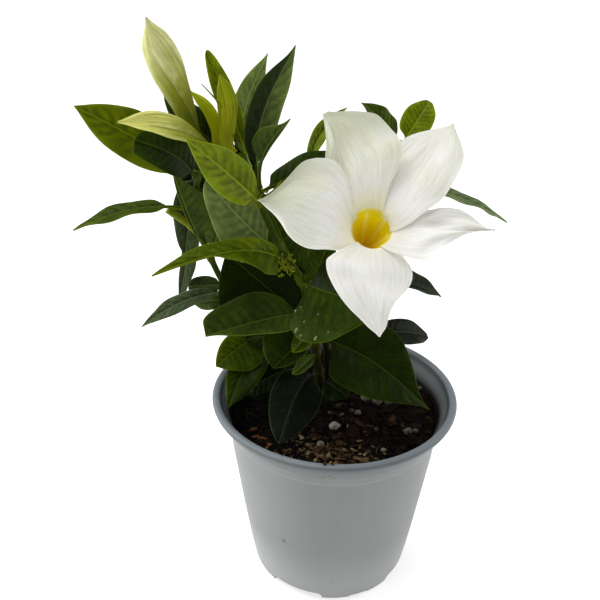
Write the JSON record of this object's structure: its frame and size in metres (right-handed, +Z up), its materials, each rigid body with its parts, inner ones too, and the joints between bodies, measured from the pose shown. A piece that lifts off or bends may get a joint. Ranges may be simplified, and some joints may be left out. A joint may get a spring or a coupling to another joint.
{
  "type": "potted mandevilla",
  "caption": "Flowering mandevilla shrub with glossy leaves, an open white flower and furled buds, growing in a round tapered nursery pot.",
  "frame": {"origin": "middle of the pot's base, on the surface that the pot stands on", "axes": "+Z up along the pot's axis; the open flower faces -Y and up; +X to the right when the flower is seen from the front"},
  "size_m": [0.2015, 0.1474, 0.2731],
  "materials": {
    "pot": "thin moulded plastic, pale blue-grey, satin",
    "soil": "loose moist potting mix of peat and bark, with white perlite grains",
    "roots": "pale brown fibrous roots",
    "stem": "green to brownish young stem",
    "leaf": "glossy leathery green, with a paler midrib and margin",
    "petal": "soft white, faintly striated",
    "flower_tube": "yellow inside the throat, cream outside",
    "flower_stalk": "smooth pale green",
    "calyx": "pale green, pointed lobes",
    "bud": "cream to yellow-green, spirally furled"
  },
  "bodies": {
    "root": {"pot": "pot", "soil": "soil", "roots": "roots", "stem_front": "stem", "stem_left": "stem", "stem_middle": "stem", "stem_right": "stem", "leaf_back_01": "leaf", "leaf_back_02": "leaf", "leaf_back_03": "leaf", "leaf_back_04": "leaf", "leaf_back_05": "leaf", "leaf_back_06": "leaf", "leaf_back_07": "leaf", "leaf_front_01": "leaf", "leaf_front_02": "leaf", "leaf_front_03": "leaf", "leaf_front_04": "leaf", "leaf_front_05": "leaf", "leaf_front_06": "leaf", "leaf_front_07": "leaf", "leaf_front_08": "leaf", "leaf_front_09": "leaf", "leaf_front_10": "leaf", "leaf_front_11": "leaf", "leaf_front_12": "leaf", "leaf_front_13": "leaf", "leaf_front_14": "leaf", "leaf_front_15": "leaf", "leaf_front_16": "leaf", "leaf_front_17": "leaf", "leaf_left_01": "leaf", "leaf_left_02": "leaf", "leaf_left_03": "leaf", "leaf_left_04": "leaf", "leaf_left_05": "leaf", "leaf_left_06": "leaf", "leaf_left_07": "leaf", "leaf_left_08": "leaf", "leaf_left_09": "leaf", "leaf_left_10": "leaf", "leaf_middle_01": "leaf", "leaf_right_01": "leaf", "leaf_right_02": "leaf", "leaf_right_03": "leaf", "leaf_right_04": "leaf", "leaf_right_05": "leaf", "petal_bottom": "petal", "petal_left": "petal", "petal_right": "petal", "petal_top": "petal", "petal_upper_right": "petal", "flower_tube": "flower_tube", "flower_stalk": "flower_stalk", "calyx": "calyx", "bud_large": "bud", "bud_side": "bud", "bud_small": "bud", "bud_tip": "bud"}
  },
  "joints": []
}
